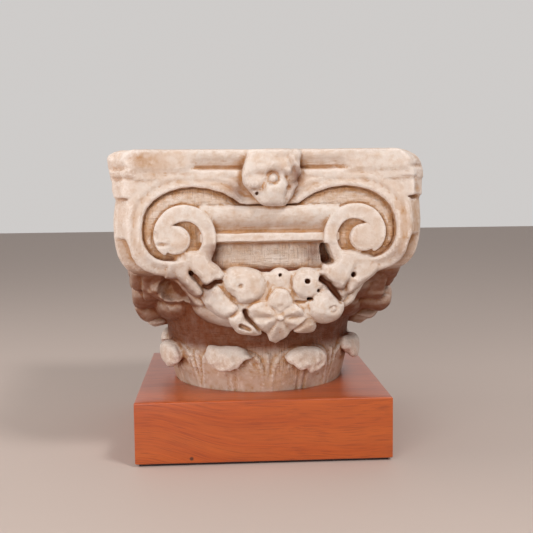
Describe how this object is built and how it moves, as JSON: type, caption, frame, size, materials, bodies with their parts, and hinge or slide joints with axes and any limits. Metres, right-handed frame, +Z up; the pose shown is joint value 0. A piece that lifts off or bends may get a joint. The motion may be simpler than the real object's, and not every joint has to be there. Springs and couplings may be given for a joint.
{
  "type": "ionic capital",
  "caption": "Worn marble column capital with corner volutes, a fruit garland and a ring of leaves, standing in a square wooden display block.",
  "frame": {"origin": "middle of the underside of the felt sheet, on the floor", "axes": "+Z up, -Y towards the front with the whole garland, +X to its right; the block is square to the axes and the capital is turned 3 degrees in it"},
  "size_m": [0.4314, 0.4347, 0.4236],
  "materials": {
    "marble": "weathered, tool-marked carving with ochre in the hollows and paler worn edges",
    "varnished_wood": "satin varnish over orange-brown fine-grained wood",
    "felt": "thin dark felt"
  },
  "bodies": {
    "root": {"marble_capital": "marble", "wooden_base": "varnished_wood", "base_felt": "felt"}
  },
  "joints": []
}
